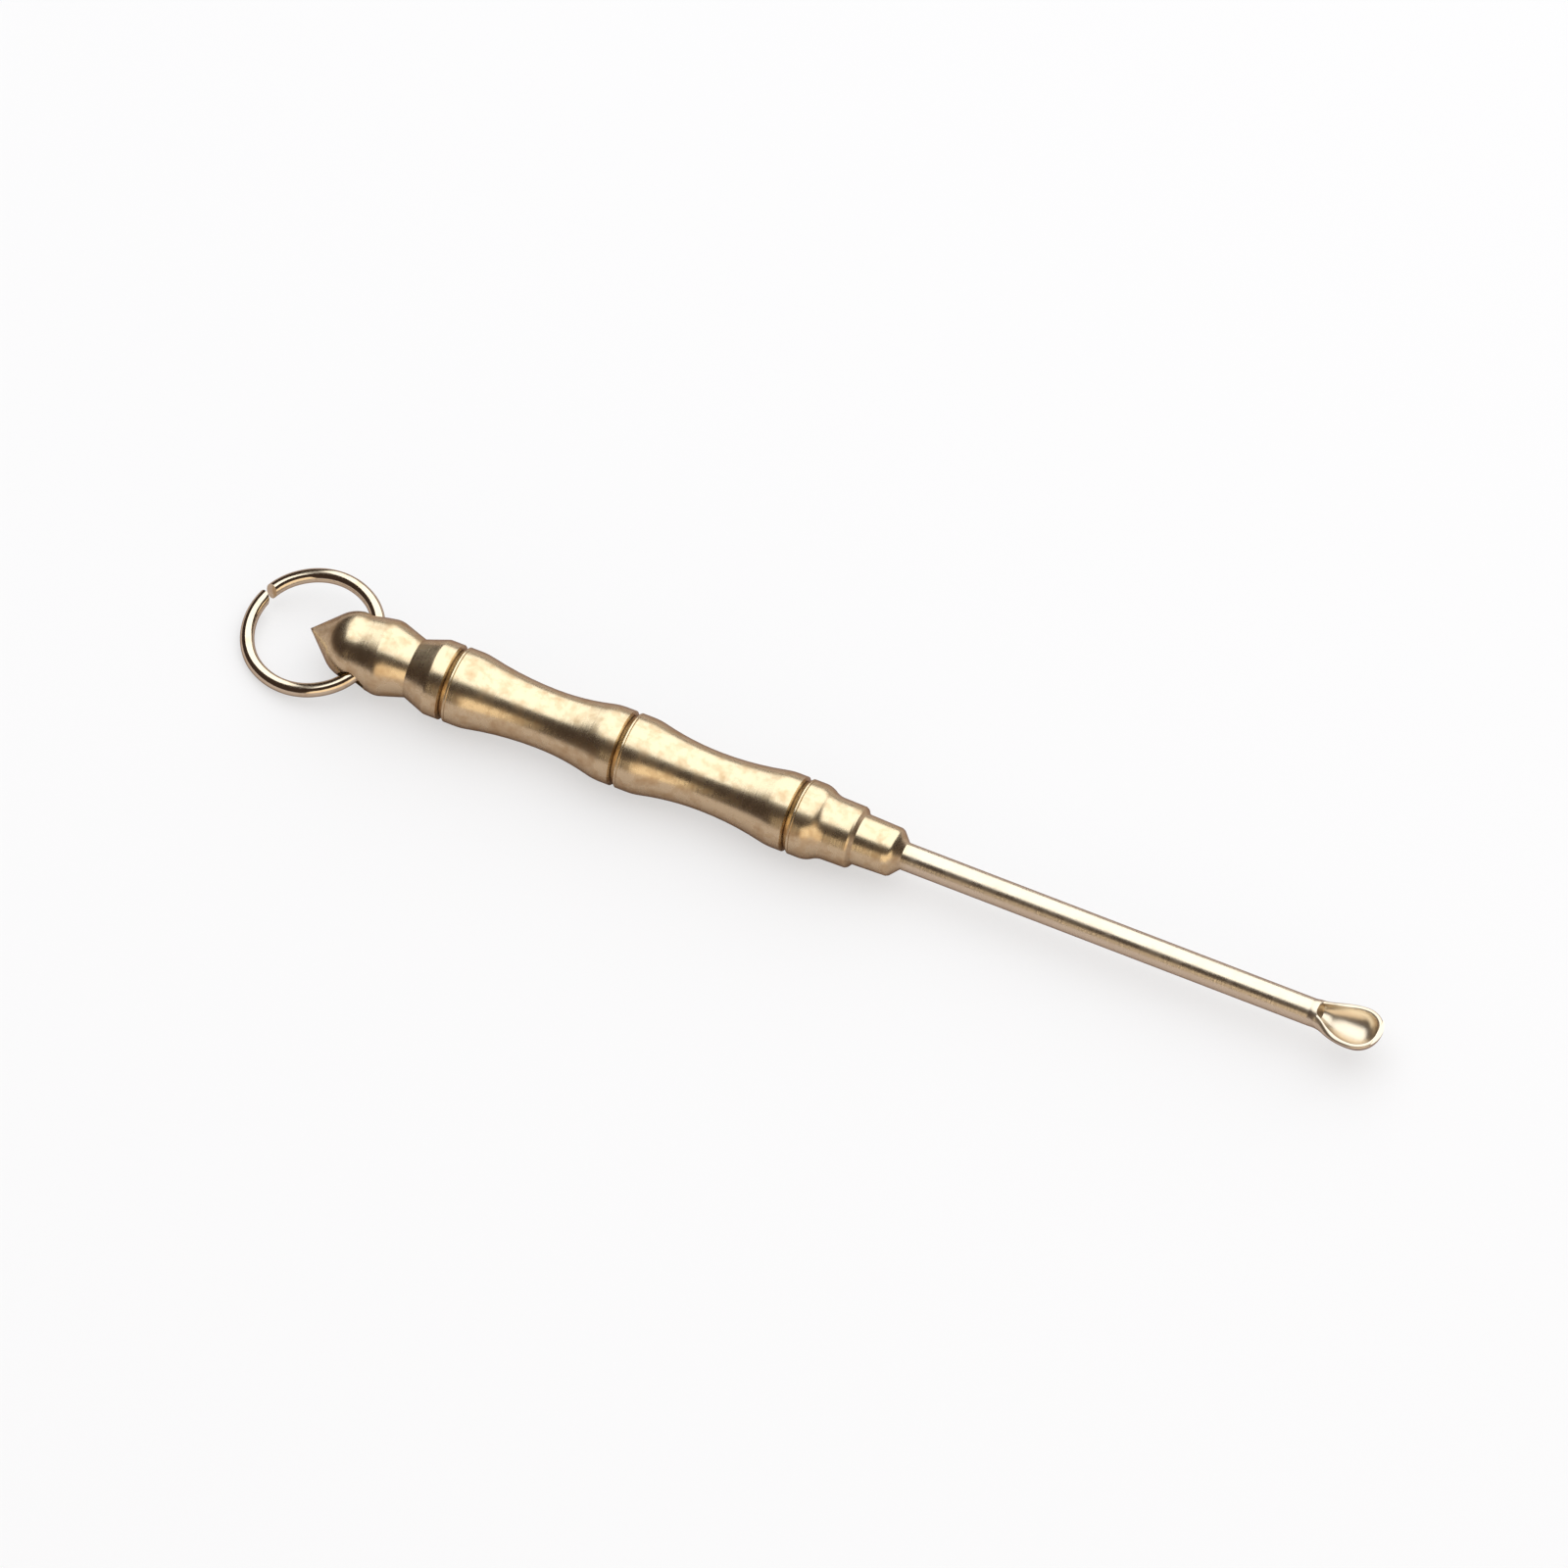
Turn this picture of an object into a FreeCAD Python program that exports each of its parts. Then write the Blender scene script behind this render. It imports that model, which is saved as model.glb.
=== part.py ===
import FreeCAD, Part
import math
import os

# Ear pick turned from one brass bar, with a wire jump ring through its head.
# Millimetres. +X runs from the point of the head to the tip of the scoop, +Z up.
# The pick lies on its widest turned crests, and the ring's free end lies on the same surface.
# The origin is on that surface, at the middle of the whole object's length and width.
# The solids are drawn about the pick's own axis, and moved to the origin at the end.

# Driving dimensions of the bar and of the pick's lengths, measured from the point of the head
bar_dia = 5.0
rod_dia = 1.8
first_groove = 9.75
node_pitch = 11.89
knob_length = 4.06
collar_length = 2.4
rod_length = 28.04
scoop_length = 4.73

# Head: a cone with a ball-shaped shoulder, a swelling and a sharp neck
shoulder_at = 3.25
shoulder_dia = 4.44
head_land = 0.35
swelling_at = 5.3
swelling_round = 1.4
neck_at = 7.27
neck_dia = 3.9
flare_length = 1.62
flare_round = 0.5

# Bamboo nodes: a parted groove, then a scribed line, on the crest of each node
node_count = 3
groove_width = 0.46
groove_depth = 0.32
groove_wall = 0.1
scribe_gap = 0.1
scribe_width = 0.08
scribe_depth = 0.035

# Waisted bamboo segments between the nodes
crest_before_groove = 0.62
crest_after_groove = 0.72
crest_round = 4.2
waist_dias = (3.9, 3.92)
waist_places = (6.4, 5.86)

# Knob that ends the handle, then the collar that steps down to the rod
knob_crest = 0.72
knob_round = 1.5
knob_fall = 1.5
knob_neck_dia = 4.14
knob_end_dia = 4.08
step_length = 0.27
step_bevel = 0.08
collar_dia = 3.36
collar_end_dia = 3.2
nose_length = 0.65
nose_bevel = 0.1

# Scoop: an egg-shaped bowl that opens from the end of the rod, with a rim that rises to the tip
bowl_radius = 1.32
bowl_wall = 0.316
bowl_lift = 0.6
bowl_shoulder = 4.9
tip_wall = 0.4
throat_radius = 0.46
throat_inset = 0.22
throat_lift = 0.42
throat_shoulder = 3.19
rim_at_tip = 0.5
rim_slope = 5.0
ramp_lead = 0.4
ramp_length = 1.2

# Cross hole, rolled about the pick's axis from the level that the scoop faces.
# The play is what the hole has beyond the curved wire.
hole_at = 3.82
hole_play = 0.3741
hole_roll = 18.0

# Jump ring: wire bent to an oval that leans less than the hole does, because the surface holds it up.
# The end share says how much of the oval's extra length comes from closer bends at its ends.
ring_wire = 0.91
ring_long_dia = 8.74
ring_cross_dia = 7.95
ring_end_share = 0.443038
ring_gap = 0.5
ring_gap_angle = 26.5
ring_cut_slant = 33.0
ring_lean = 13.0
ring_side = 0.22
wire_shift = 0.162
steepest_tilt = 45.0
tilt_halvings = 50

# Values that follow from the driving dimensions
bar_r = bar_dia / 2
rod_r = rod_dia / 2
wire_r = ring_wire / 2
shoulder_r = shoulder_dia / 2
ring_long_r = ring_long_dia / 2
ring_cross_r = ring_cross_dia / 2
ring_stretch = ring_long_r - ring_cross_r
ring_end_r = ring_cross_r - ring_end_share * ring_stretch
wire_bow = ring_end_r - math.sqrt(ring_end_r ** 2 - shoulder_r ** 2)
hole_dia = ring_wire + wire_bow + hole_play
wire_offset = wire_bow / 2 + wire_shift
handle_end = first_groove + (node_count - 1) * node_pitch + groove_width + knob_length
collar_end = handle_end + collar_length
rod_start = collar_end + nose_length
rod_end = rod_start + rod_length
tip_at = rod_end + scoop_length
bowl_outer = bowl_radius + bowl_wall
bowl_at = tip_at - math.sqrt(bowl_outer ** 2 - (bowl_lift - rim_at_tip) ** 2)
along = FreeCAD.Vector(1, 0, 0)
across = FreeCAD.Vector(0, 1, 0)
upward = FreeCAD.Vector(0, 0, 1)
hole_axis = FreeCAD.Rotation(along, hole_roll).multVec(across)


def point(x, r):
    """A point of the turning profile, at x along the pick and r from its axis."""
    return FreeCAD.Vector(x, 0, r)


def line(first, second):
    """A straight edge between two points."""
    return Part.LineSegment(first, second).toShape()


def tangent_point(x, r, centre_x, centre_r, radius):
    """Where the line from (x, r) over the top of a circle touches that circle."""
    reach = math.hypot(centre_x - x, centre_r - r)
    touch = math.sqrt(reach ** 2 - radius ** 2)
    side = 1 if centre_x > x else -1
    angle = math.atan2(centre_r - r, abs(centre_x - x)) + math.asin(radius / reach)
    return x + side * touch * math.cos(angle), r + touch * math.sin(angle)


class Profile:
    """The half outline of a turned piece, drawn edge by edge from its start."""

    def __init__(self, x, r):
        self.start = x
        self.x = x
        self.r = r
        self.edges = []

    def line_to(self, x, r):
        """Straight cut to (x, r)."""
        self.edges.append(line(point(self.x, self.r), point(x, r)))
        self.x = x
        self.r = r

    def arc_to(self, x, r, centre_x, centre_r):
        """Round cut to (x, r) about a centre, the short way."""
        radius = math.hypot(x - centre_x, r - centre_r)
        mid_x = (self.x + x) / 2 - centre_x
        mid_r = (self.r + r) / 2 - centre_r
        scale = radius / math.hypot(mid_x, mid_r)
        middle_point = point(centre_x + mid_x * scale, centre_r + mid_r * scale)
        self.edges.append(Part.Arc(point(self.x, self.r), middle_point, point(x, r)).toShape())
        self.x = x
        self.r = r

    def over_crest(self, centre_x, top_r, radius, x, r):
        """Straight to a round crest, over it, and straight down to (x, r)."""
        centre_r = top_r - radius
        start = tangent_point(self.x, self.r, centre_x, centre_r, radius)
        end = tangent_point(x, r, centre_x, centre_r, radius)
        self.line_to(*start)
        self.arc_to(*end, centre_x, centre_r)
        self.line_to(x, r)

    def up_to_crest(self, centre_x, top_r, radius):
        """Straight to a round crest and on to its top."""
        centre_r = top_r - radius
        self.line_to(*tangent_point(self.x, self.r, centre_x, centre_r, radius))
        self.arc_to(centre_x, top_r, centre_x, centre_r)

    def past_corner(self, corner_x, corner_r, bevel, x, r):
        """Straight to a corner, bevelled off by the same length on both sides, and on to (x, r)."""
        before = math.hypot(corner_x - self.x, corner_r - self.r)
        after = math.hypot(x - corner_x, r - corner_r)
        near = bevel / before
        far = bevel / after
        self.line_to(corner_x + (self.x - corner_x) * near, corner_r + (self.r - corner_r) * near)
        self.line_to(corner_x + (x - corner_x) * far, corner_r + (r - corner_r) * far)
        self.line_to(x, r)

    def ogee_to(self, x, r, high_round):
        """Two tangent arcs, level at both ends, with the given radius at the higher end."""
        run = x - self.x
        rise = r - self.r
        turn = 2 * math.atan(abs(rise) / run)
        low_round = run / math.sin(turn) - high_round
        first = high_round if rise < 0 else -low_round
        second = -low_round if rise < 0 else high_round
        switch_x = self.x + abs(first) * math.sin(turn)
        switch_r = self.r - first * (1 - math.cos(turn))
        self.arc_to(switch_x, switch_r, self.x, self.r - first)
        self.arc_to(x, r, x, r - second)

    def groove(self, x):
        """A parted groove from x, steep on its near side, then the scribed line beside it."""
        crest = self.r
        self.line_to(x, crest)
        self.line_to(x + groove_wall, crest - groove_depth)
        self.line_to(x + groove_width, crest)
        scribe = x + groove_width + scribe_gap
        self.line_to(scribe, crest)
        self.line_to(scribe + scribe_width / 2, crest - scribe_depth)
        self.line_to(scribe + scribe_width, crest)

    def turned(self):
        """The solid of revolution of this outline, closed along the pick's axis."""
        if self.r > 0:
            self.line_to(self.x, 0)
        self.line_to(self.start, 0)
        return Part.Face(Part.Wire(self.edges)).revolve(point(0, 0), along, 360)


def turn_head(outline):
    """Cone, shoulder, swelling, neck and flare, up to the first groove."""
    outline.up_to_crest(shoulder_at, shoulder_r, shoulder_r)
    outline.line_to(shoulder_at + head_land, shoulder_r)
    outline.over_crest(swelling_at, bar_r, swelling_round, neck_at, neck_dia / 2)
    outline.up_to_crest(neck_at + flare_length, bar_r, flare_round)
    outline.groove(first_groove)


def turn_segments(outline):
    """The waisted segments, each ending in the next node's groove."""
    for index, (waist_dia, waist_place) in enumerate(zip(waist_dias, waist_places)):
        start = first_groove + index * node_pitch
        waist_r = waist_dia / 2
        outline.line_to(start + groove_width + crest_after_groove, bar_r)
        outline.ogee_to(start + waist_place + groove_width / 2, waist_r, crest_round)
        outline.ogee_to(start + node_pitch - crest_before_groove, bar_r, crest_round)
        outline.groove(start + node_pitch)


def turn_knob(outline):
    """The knob after the last groove, its neck, and the bevelled step down to the collar."""
    start = handle_end - knob_length
    outline.line_to(start + knob_crest, bar_r)
    outline.ogee_to(start + knob_crest + knob_fall, knob_neck_dia / 2, knob_round)
    outline.past_corner(handle_end - step_length, knob_end_dia / 2, step_bevel, handle_end, collar_dia / 2)


def turn_collar_and_rod(outline):
    """The collar with its bevelled conical nose, then the straight rod."""
    outline.past_corner(collar_end, collar_end_dia / 2, nose_bevel, rod_start, rod_r)
    outline.line_to(rod_end, rod_r)


def egg(small, small_radius, large, large_radius, shoulder):
    """
    Two balls joined by a flank that leaves both of them level with the line through them.

    The flank is two tangent arcs, and the one at the large ball has the radius shoulder.
    """
    reach = large - small
    outline = Profile(-small_radius, 0)
    outline.arc_to(0, small_radius, 0, 0)
    outline.ogee_to(reach.Length, large_radius, shoulder)
    outline.arc_to(reach.Length + large_radius, 0, reach.Length, 0)
    solid = outline.turned()
    solid.rotate(point(0, 0), across, -math.degrees(math.atan2(reach.z, reach.x)))
    solid.translate(small)
    return solid


def rim_cutter():
    """All that is above the scoop: over a ramp down from the rod's top, then over the rising rim."""
    slope = math.tan(math.radians(rim_slope))
    ramp_start = rod_end - ramp_lead
    ramp_end = ramp_start + ramp_length
    knee = (ramp_start + ramp_end) / 2
    before = ramp_start - rod_r
    beyond = tip_at + bowl_outer
    above = bowl_lift + bowl_outer + rod_r
    rim = [point(x, rim_at_tip - (tip_at - x) * slope) for x in (knee, ramp_end, beyond)]
    ramp = Part.BezierCurve()
    ramp.setPoles([point(ramp_start, rod_r), point(knee, rod_r), rim[0], rim[1]])
    corners = [rim[1], rim[2], point(beyond, above), point(before, above), point(before, rod_r),
               point(ramp_start, rod_r)]
    edges = [ramp.toShape()]
    for first, second in zip(corners, corners[1:]):
        edges.append(line(first, second))
    side = Part.Face(Part.Wire(edges))
    side.translate(across * -beyond)
    return side.extrude(across * (beyond + beyond))


def make_pick():
    """The whole pick: turned, drilled across its head, and pressed to a scoop at the rod's end."""
    outline = Profile(0, 0)
    turn_head(outline)
    turn_segments(outline)
    turn_knob(outline)
    turn_collar_and_rod(outline)
    bowl_centre = point(bowl_at, bowl_lift)
    blank = egg(point(rod_end, 0), rod_r, bowl_centre, bowl_outer, bowl_shoulder)
    hollow = egg(point(rod_end + throat_inset, throat_lift), throat_radius,
                 bowl_centre - along * (tip_wall - bowl_wall), bowl_radius, throat_shoulder)
    pick = outline.turned().fuse(blank.cut(rim_cutter())).removeSplitter()
    drill = Part.makeCylinder(hole_dia / 2, bar_dia, point(hole_at, 0) - hole_axis * bar_r, hole_axis)
    return pick.cut([hollow, drill])


def section_sweep(centre, radius, start, sweep):
    """Round wire bent about a centre in the level plane, from a start angle through a sweep in degrees."""
    wire_at = centre + along * radius
    section = Part.Face(Part.Wire(Part.makeCircle(wire_r, wire_at, across)))
    bend = section.revolve(centre, upward, sweep)
    bend.rotate(centre, upward, start)
    return bend


def ring_turn(tilt):
    """How the ring is turned from level: it leans to the side, then tilts down by an angle in degrees."""
    return FreeCAD.Rotation(across, -tilt) * FreeCAD.Rotation(along, ring_lean)


def ring_centre(tilt):
    """Middle of the ring, from the middle of the hole."""
    return ring_turn(tilt).multVec(FreeCAD.Vector(wire_offset - ring_long_r, ring_side, 0))


def ring_reach(tilt, direction):
    """How far the ring reaches from its middle in a direction."""
    turn = ring_turn(tilt)
    long_part = ring_long_r * turn.multVec(along).dot(direction)
    cross_part = ring_cross_r * turn.multVec(across).dot(direction)
    return math.hypot(long_part, cross_part) + wire_r


def resting_tilt():
    """The tilt that brings the ring's lowest side down to the surface that the pick lies on."""
    shallow = 0
    steep = steepest_tilt
    for _ in range(tilt_halvings):
        tilt = (shallow + steep) / 2
        if ring_centre(tilt).z - ring_reach(tilt, upward) > -bar_r:
            shallow = tilt
        else:
            steep = tilt
    return tilt


def saw_cut():
    """The slot that opens the ring: a thin slab across the wire, slanted over towards the ring's top."""
    place = math.radians(180 - ring_gap_angle)
    middle = FreeCAD.Vector(ring_long_r * math.cos(place), ring_cross_r * math.sin(place), 0)
    slab = Part.makeBox(ring_wire * 2, ring_gap, ring_wire * 4)
    slab.translate(FreeCAD.Vector(-ring_wire, -ring_gap / 2, -ring_wire * 2))
    slab.rotate(FreeCAD.Vector(0, 0, 0), along, ring_cut_slant)
    slab.rotate(FreeCAD.Vector(0, 0, 0), upward, 180 - ring_gap_angle)
    slab.translate(middle)
    return slab


def make_ring(tilt):
    """
    Round wire bent to an oval of four tangent arcs, cut open by a slanted saw cut.

    The ring hangs askew in the hole, and reaches down to the surface.
    """
    end_centre = ring_stretch * (1 + ring_end_share)
    side_centre = ring_stretch * (1 + 2 * ring_end_share) / (2 * ring_end_share)
    half_end = math.degrees(math.atan2(1 + 2 * ring_end_share, 2 * ring_end_share * (1 + ring_end_share)))
    bends = []
    for turned_by in (0, 180):
        about = FreeCAD.Rotation(upward, turned_by)
        end = section_sweep(along * end_centre, ring_end_r, -half_end, 2 * half_end)
        side = section_sweep(across * -side_centre, ring_cross_r + side_centre, half_end, 180 - 2 * half_end)
        for bend in (end, side):
            bend.Placement = FreeCAD.Placement(FreeCAD.Vector(0, 0, 0), about) * bend.Placement
            bends.append(bend)
    ring = bends[0].fuse(bends[1:])
    ring = ring.cut(saw_cut())
    ring.Placement = FreeCAD.Placement(point(hole_at, 0) + ring_centre(tilt), ring_turn(tilt))
    return ring


os.makedirs("parts", exist_ok=True)
tilt_at_rest = resting_tilt()
ring_middle = ring_centre(tilt_at_rest)
ring_left = hole_at + ring_middle.x - ring_reach(tilt_at_rest, along)
to_origin = FreeCAD.Vector(-(ring_left + tip_at) / 2, -ring_middle.y, bar_r)
for name, shape in (("ear_pick", make_pick()), ("jump_ring", make_ring(tilt_at_rest))):
    shape.translate(to_origin)
    shape.exportStep(os.path.join("parts", name + ".step"))
    box = shape.optimalBoundingBox(True, False)
    print(name, "solids", len(shape.Solids), "valid", shape.isValid(), "volume", round(shape.Volume, 3),
          "x", round(box.XMin, 3), round(box.XMax, 3), "y", round(box.YMin, 3), round(box.YMax, 3),
          "z", round(box.ZMin, 3), round(box.ZMax, 3))
hinge = point(hole_at, 0) + to_origin
print("hinge", round(hinge.x, 4), round(hinge.y, 4), round(hinge.z, 4), "tilt", round(tilt_at_rest, 3))
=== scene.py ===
import enum
import logging
import math
from dataclasses import dataclass, field

import bmesh
import bpy
import numpy as np
from mathutils import Matrix, Vector


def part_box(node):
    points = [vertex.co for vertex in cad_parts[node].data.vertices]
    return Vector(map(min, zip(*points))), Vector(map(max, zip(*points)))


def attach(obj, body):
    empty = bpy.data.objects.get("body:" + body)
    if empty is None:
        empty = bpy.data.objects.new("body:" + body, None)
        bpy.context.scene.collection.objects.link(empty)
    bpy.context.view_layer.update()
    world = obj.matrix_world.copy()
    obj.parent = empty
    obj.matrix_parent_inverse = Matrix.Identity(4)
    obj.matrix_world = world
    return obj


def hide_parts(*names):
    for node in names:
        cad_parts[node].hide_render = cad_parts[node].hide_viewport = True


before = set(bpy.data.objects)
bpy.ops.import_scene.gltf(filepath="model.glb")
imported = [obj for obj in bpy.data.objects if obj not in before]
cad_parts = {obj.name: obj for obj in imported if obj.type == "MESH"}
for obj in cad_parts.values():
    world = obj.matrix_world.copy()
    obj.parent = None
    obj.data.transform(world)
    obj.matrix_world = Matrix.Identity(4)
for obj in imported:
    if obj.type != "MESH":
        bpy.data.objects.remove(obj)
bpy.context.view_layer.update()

# The looks of a turned brass ear pick with a loose jump ring, in metres, in the CAD's own frame.
# Both CAD nodes are redrawn here from the same sizes as finer, smoothly shaded surfaces. The
# classes hold their sizes in millimetres, and a mesh is scaled to metres when it is made.

MM = 0.001
MERGE_MM = 0.0005       # points nearer than this become one
SLIVER_MM = 0.0002      # edges shorter than this are dissolved
SLACK_MM = 1e-9         # for sizes that are equal but for rounding
LINE_STEP_MM = 0.35     # spacing of the points on a straight cut
FINE_STEP_MM = 0.05     # spacing of the points on a groove's walls
ARC_STEP_DEG = 2.0      # spacing of the points on a round cut
SETTLING_ROUNDS = 60    # rounds in which a place found by averaging settles
HALVINGS = 50           # rounds in which a place found by halving settles

# Socket numbers of the Mix node, whose colour and number sockets share their names
FACTOR = 0
COLOUR_A, COLOUR_B, COLOUR_RESULT = 6, 7, 2
NUMBER_A, NUMBER_B, NUMBER_RESULT = 2, 3, 0

log = logging.getLogger("ear_pick")


# Colours and shader nodes

def linear(hex_colour: str) -> tuple[float, float, float, float]:
    """Turn an sRGB hex colour into linear light.

    A channel up to 0.04045 is divided by 12.92, and a brighter one is raised to the power 2.4
    after 0.055 is added and the sum divided by 1.055.

    Args:
        hex_colour: A hash and six hex digits.

    Returns:
        Linear red, green and blue, and full opacity.
    """
    channels = [int(hex_colour[i:i + 2], 16) / 255 for i in (1, 3, 5)]
    red, green, blue = (c / 12.92 if c <= 0.04045 else ((c + 0.055) / 1.055) ** 2.4
                        for c in channels)
    return red, green, blue, 1.0


def add_node(tree: bpy.types.NodeTree, kind: str, settings: dict | None = None,
             inputs: dict | None = None) -> bpy.types.Node:
    """Add one node with its settings, constants and links.

    Args:
        tree: The node tree that gets the node.
        kind: Blender's type name of the node.
        settings: Properties of the node by name.
        inputs: Socket name or number to a constant, or to the output socket it is linked from.

    Returns:
        The new node.
    """
    node = tree.nodes.new(kind)
    for name, value in (settings or {}).items():
        setattr(node, name, value)
    for name, value in (inputs or {}).items():
        if isinstance(value, bpy.types.NodeSocket):
            tree.links.new(value, node.inputs[name])
        else:
            node.inputs[name].default_value = value
    return node


def new_material(name: str) -> tuple[bpy.types.Material, bpy.types.NodeTree]:
    """Start a material with an empty node tree.

    Args:
        name: Name of the real finish.

    Returns:
        The material and its tree.
    """
    material = bpy.data.materials.new(name)
    material.use_nodes = True
    material.node_tree.nodes.clear()
    return material, material.node_tree


@dataclass(frozen=True)
class TurnedBrass:
    """Free-cutting brass, turned and lightly polished. Sizes in millimetres.

    The lathe leaves faint rings round the axis, which stretch the highlights a little. Handling
    leaves a thin brown tarnish in soft patches, which warms the pale metal and dulls it. The
    grooves and other sheltered places are darkened with painted shade, a dark brown that grows
    with how closed in the surface is. The rod and the scoop are handled less, so they stay
    paler, and the press leaves the scoop slightly matt. The patches are drawn at the size at
    which they show in the render.
    """

    clean: str = "#F2E1BE"
    tarnished: str = "#B88A48"
    painted_corner_shade: str = "#5C442A"
    # Dark brown of the painted shade in the grooves and other sheltered places
    unhandled: str = "#F8EDD8"
    edge_tint: str = "#B8AAB0"
    patch_size: float = 0.9
    patch_detail: float = 4.0
    patch_roughness: float = 0.6
    patch_range: tuple[float, float] = (0.46, 0.74)     # noise at which tarnish starts and is full
    patch_cover: float = 0.5                            # share of tarnish at its fullest
    corner_reach: float = 0.2
    corner_range: tuple[float, float] = (0.3, 0.75)     # openness with the most and no painted shade
    corner_cover: float = 0.6
    corner_samples: int = 8
    unhandled_from: float = 6.3                         # the frame's X where the rod starts
    unhandled_fade: float = 0.8
    unhandled_cover: float = 0.85
    ring_pitch: float = 0.22
    ring_depth: float = 0.004
    ring_detail: float = 2.0
    ring_roughness: float = 0.7
    roughness: float = 0.25
    dulled_range: tuple[float, float] = (0.4, 0.8)      # noise at which dulling starts and is full
    dulled_by: float = 0.12
    pressed_roughness: float = 0.34
    pressed_from: float = 34.5                          # the frame's X where the scoop starts
    pressed_fade: float = 1.2

    def material(self) -> bpy.types.Material:
        """Build the material.

        Returns:
            The finished material.
        """
        material, tree = new_material("turned_brass")
        place = add_node(tree, "ShaderNodeTexCoord").outputs["Object"]
        along = add_node(tree, "ShaderNodeSeparateXYZ", {}, {"Vector": place}).outputs["X"]
        patches = add_node(tree, "ShaderNodeTexNoise", {"noise_dimensions": "3D"}, {
            "Vector": place, "Scale": 1 / (self.patch_size * MM),
            "Detail": self.patch_detail, "Roughness": self.patch_roughness}).outputs["Fac"]
        # Painted shade: ambient occlusion over a short reach darkens the colour where the surface is
        # closed in
        corner_shade_mask = add_node(tree, "ShaderNodeAmbientOcclusion", {
            "samples": self.corner_samples, "only_local": True}, {
            "Distance": self.corner_reach * MM}).outputs["AO"]
        # Layers over the clean metal: tarnish in soft patches, painted shade in dark brown where the
        # surface is sheltered, and paler metal from the rod on. Each has the value it follows, the
        # range of that value, and how much it covers at the range's start and end.
        rod = (self.unhandled_from * MM, (self.unhandled_from + self.unhandled_fade) * MM)
        layers = ((patches, self.patch_range, (0.0, self.patch_cover), self.tarnished),
                  (corner_shade_mask, self.corner_range, (self.corner_cover, 0.0), self.painted_corner_shade),
                  (along, rod, (0.0, self.unhandled_cover), self.unhandled))
        colour = linear(self.clean)
        for value, (start, end), (cover_at_start, cover_at_end), tint in layers:
            cover = add_node(tree, "ShaderNodeMapRange", {"clamp": True}, {
                "Value": value, "From Min": start, "From Max": end,
                "To Min": cover_at_start, "To Max": cover_at_end})
            colour = add_node(tree, "ShaderNodeMix", {"data_type": "RGBA"}, {
                FACTOR: cover.outputs["Result"], COLOUR_A: colour,
                COLOUR_B: linear(tint)}).outputs[COLOUR_RESULT]
        # The lathe's rings: relief that changes along the axis only
        rings = add_node(tree, "ShaderNodeTexNoise", {"noise_dimensions": "1D"}, {
            "W": along, "Scale": 1 / (self.ring_pitch * MM),
            "Detail": self.ring_detail, "Roughness": self.ring_roughness})
        relief = add_node(tree, "ShaderNodeBump", {}, {
            "Height": rings.outputs["Fac"], "Distance": self.ring_depth * MM, "Strength": 1.0})
        # The gloss: duller in the patches, and matt from the scoop on
        gloss = add_node(tree, "ShaderNodeMapRange", {"clamp": True}, {
            "Value": patches, "From Min": self.dulled_range[0], "From Max": self.dulled_range[1],
            "To Min": self.roughness, "To Max": self.roughness + self.dulled_by})
        pressed = add_node(tree, "ShaderNodeMapRange", {"clamp": True}, {
            "Value": along, "From Min": self.pressed_from * MM,
            "From Max": (self.pressed_from + self.pressed_fade) * MM, "To Min": 0.0, "To Max": 1.0})
        gloss = add_node(tree, "ShaderNodeMix", {"data_type": "FLOAT"}, {
            FACTOR: pressed.outputs["Result"],
            NUMBER_A: gloss.outputs["Result"], NUMBER_B: self.pressed_roughness})
        shader = add_node(tree, "ShaderNodeBsdfPrincipled", {}, {
            "Base Color": colour, "Metallic": 1.0, "Specular Tint": linear(self.edge_tint),
            "Roughness": gloss.outputs[NUMBER_RESULT], "Normal": relief.outputs["Normal"]})
        add_node(tree, "ShaderNodeOutputMaterial", {}, {"Surface": shader.outputs["BSDF"]})
        return material


@dataclass(frozen=True)
class DrawnWire:
    """Drawn brass wire, as it comes from the die. Sizes in millimetres.

    The die leaves it smooth, so it shows narrow bright highlights and sharp reflections. Handling
    dulls it in soft patches.
    """

    clean: str = "#F6E9D0"
    dulled: str = "#CDB08A"
    edge_tint: str = "#C4B6B0"
    roughness: float = 0.12
    patch_size: float = 0.8
    patch_detail: float = 2.0
    patch_roughness: float = 0.5
    patch_range: tuple[float, float] = (0.52, 0.8)
    patch_cover: float = 0.5

    def material(self) -> bpy.types.Material:
        """Build the material.

        Returns:
            The finished material.
        """
        material, tree = new_material("drawn_brass_wire")
        place = add_node(tree, "ShaderNodeTexCoord")
        patches = add_node(tree, "ShaderNodeTexNoise", {"noise_dimensions": "3D"}, {
            "Vector": place.outputs["Object"], "Scale": 1 / (self.patch_size * MM),
            "Detail": self.patch_detail, "Roughness": self.patch_roughness})
        cover = add_node(tree, "ShaderNodeMapRange", {"clamp": True}, {
            "Value": patches.outputs["Fac"],
            "From Min": self.patch_range[0], "From Max": self.patch_range[1],
            "To Min": 0.0, "To Max": self.patch_cover})
        colour = add_node(tree, "ShaderNodeMix", {"data_type": "RGBA"}, {
            FACTOR: cover.outputs["Result"],
            COLOUR_A: linear(self.clean), COLOUR_B: linear(self.dulled)})
        shader = add_node(tree, "ShaderNodeBsdfPrincipled", {}, {
            "Base Color": colour.outputs[COLOUR_RESULT], "Metallic": 1.0,
            "Specular Tint": linear(self.edge_tint), "Roughness": self.roughness})
        add_node(tree, "ShaderNodeOutputMaterial", {}, {"Surface": shader.outputs["BSDF"]})
        return material


# Surfaces and curves

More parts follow.
